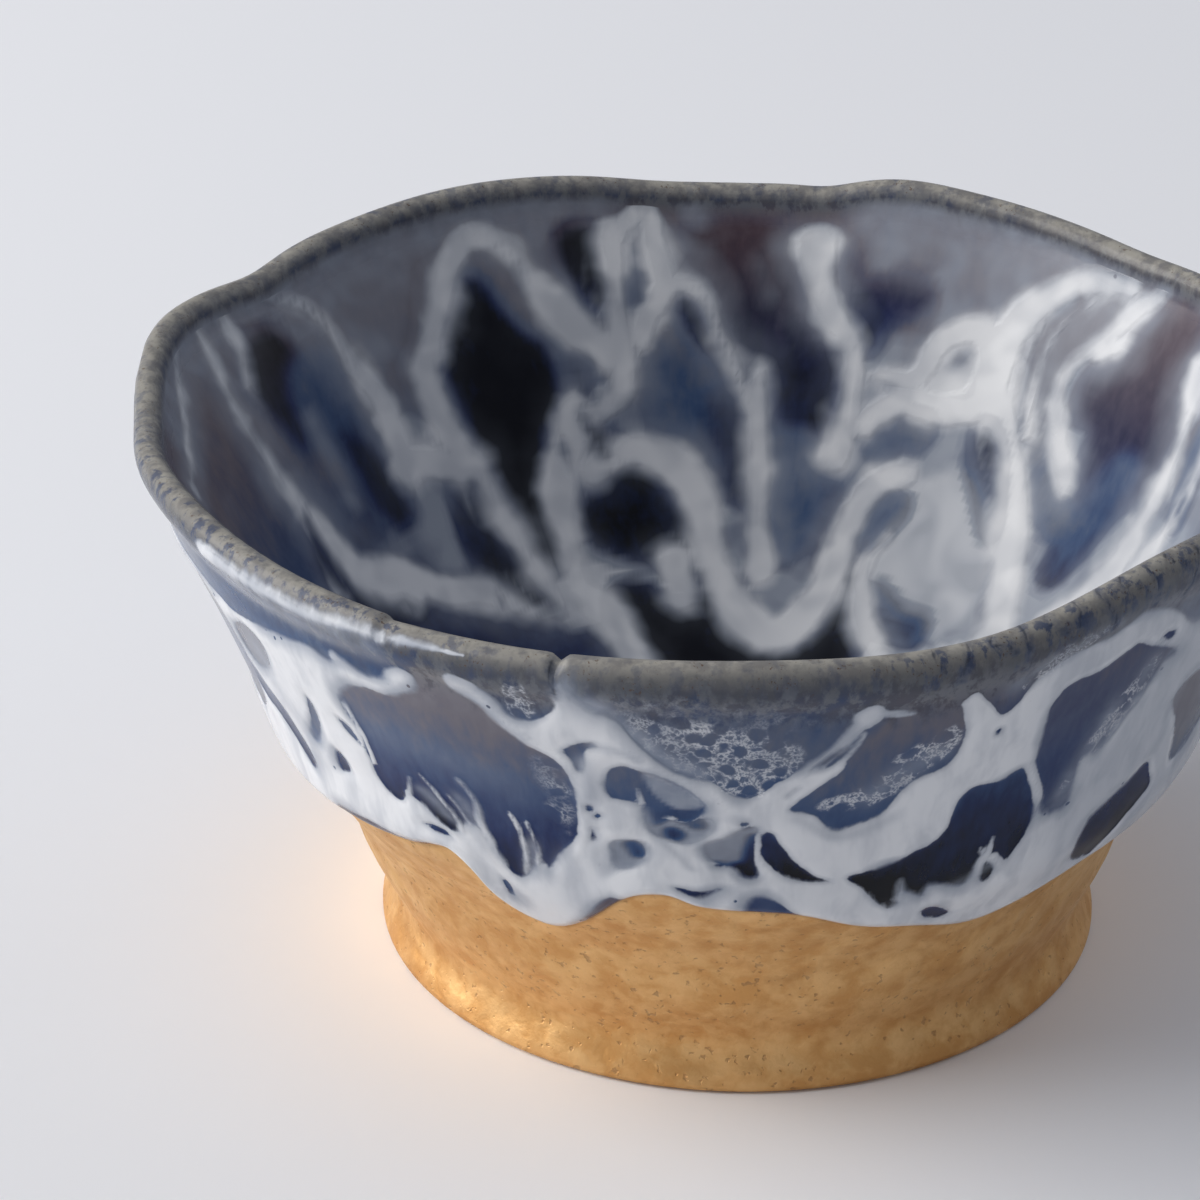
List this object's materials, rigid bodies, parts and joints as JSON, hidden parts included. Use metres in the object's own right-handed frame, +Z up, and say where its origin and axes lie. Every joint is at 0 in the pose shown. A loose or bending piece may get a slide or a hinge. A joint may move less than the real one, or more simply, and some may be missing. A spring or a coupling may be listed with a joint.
{
  "type": "kintsugi sake cup",
  "caption": "Small hand-shaped sake cup: a flaring bowl with an uneven lip, flowing white glaze over dark blue, and a gilded lower wall and foot.",
  "frame": {"origin": "on the plane that the cup stands on, under the middle of its outline as seen from above", "axes": "+Z up out of the bowl; -Y towards the side that the picture shows nearest; +X to the right in the picture"},
  "size_m": [0.0794, 0.0776, 0.0403],
  "materials": {
    "glaze": "glossy flowing white over dark blue, with a matte speckled lip",
    "gold": "satin gold over rough clay, on the foot and the lower wall"
  },
  "bodies": {
    "root": {"cup": "glaze"}
  },
  "joints": []
}
